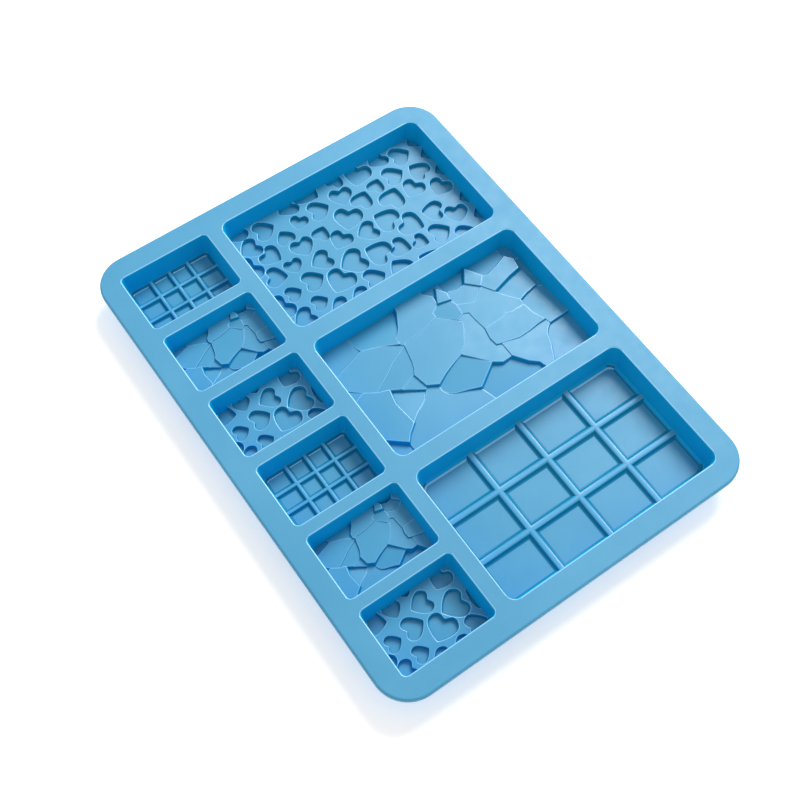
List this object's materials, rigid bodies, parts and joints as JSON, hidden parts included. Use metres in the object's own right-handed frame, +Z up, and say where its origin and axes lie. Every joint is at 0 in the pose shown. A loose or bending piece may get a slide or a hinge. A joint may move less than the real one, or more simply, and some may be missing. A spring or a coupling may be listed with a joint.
{
  "type": "silicone soap mould",
  "caption": "Flexible tray mould with a column of small and a column of large rectangular cavities, their floors patterned with hearts, cracked stone and a bar grid.",
  "frame": {"origin": "on the surface the mould rests on, under the middle of its outline", "axes": "+X from the column of small cavities to the column of large ones, +Y along the length towards the large hearts cavity, +Z up out of the cavities"},
  "size_m": [0.2, 0.265, 0.016],
  "materials": {
    "deck_silicone": "satin, moulded",
    "wall_silicone": "semi-gloss, moulded",
    "relief_silicone": "semi-gloss, moulded"
  },
  "bodies": {
    "root": {"deck": "deck_silicone", "wall_large_hearts": "wall_silicone", "floor_large_hearts": "relief_silicone", "wall_large_cracked": "wall_silicone", "floor_large_cracked": "relief_silicone", "wall_large_grid": "wall_silicone", "floor_large_grid": "relief_silicone", "wall_small_grid_a": "wall_silicone", "floor_small_grid_a": "relief_silicone", "wall_small_cracked_a": "wall_silicone", "floor_small_cracked_a": "relief_silicone", "wall_small_hearts_a": "wall_silicone", "floor_small_hearts_a": "relief_silicone", "wall_small_grid_b": "wall_silicone", "floor_small_grid_b": "relief_silicone", "wall_small_cracked_b": "wall_silicone", "floor_small_cracked_b": "relief_silicone", "wall_small_hearts_b": "wall_silicone", "floor_small_hearts_b": "relief_silicone"}
  },
  "joints": []
}
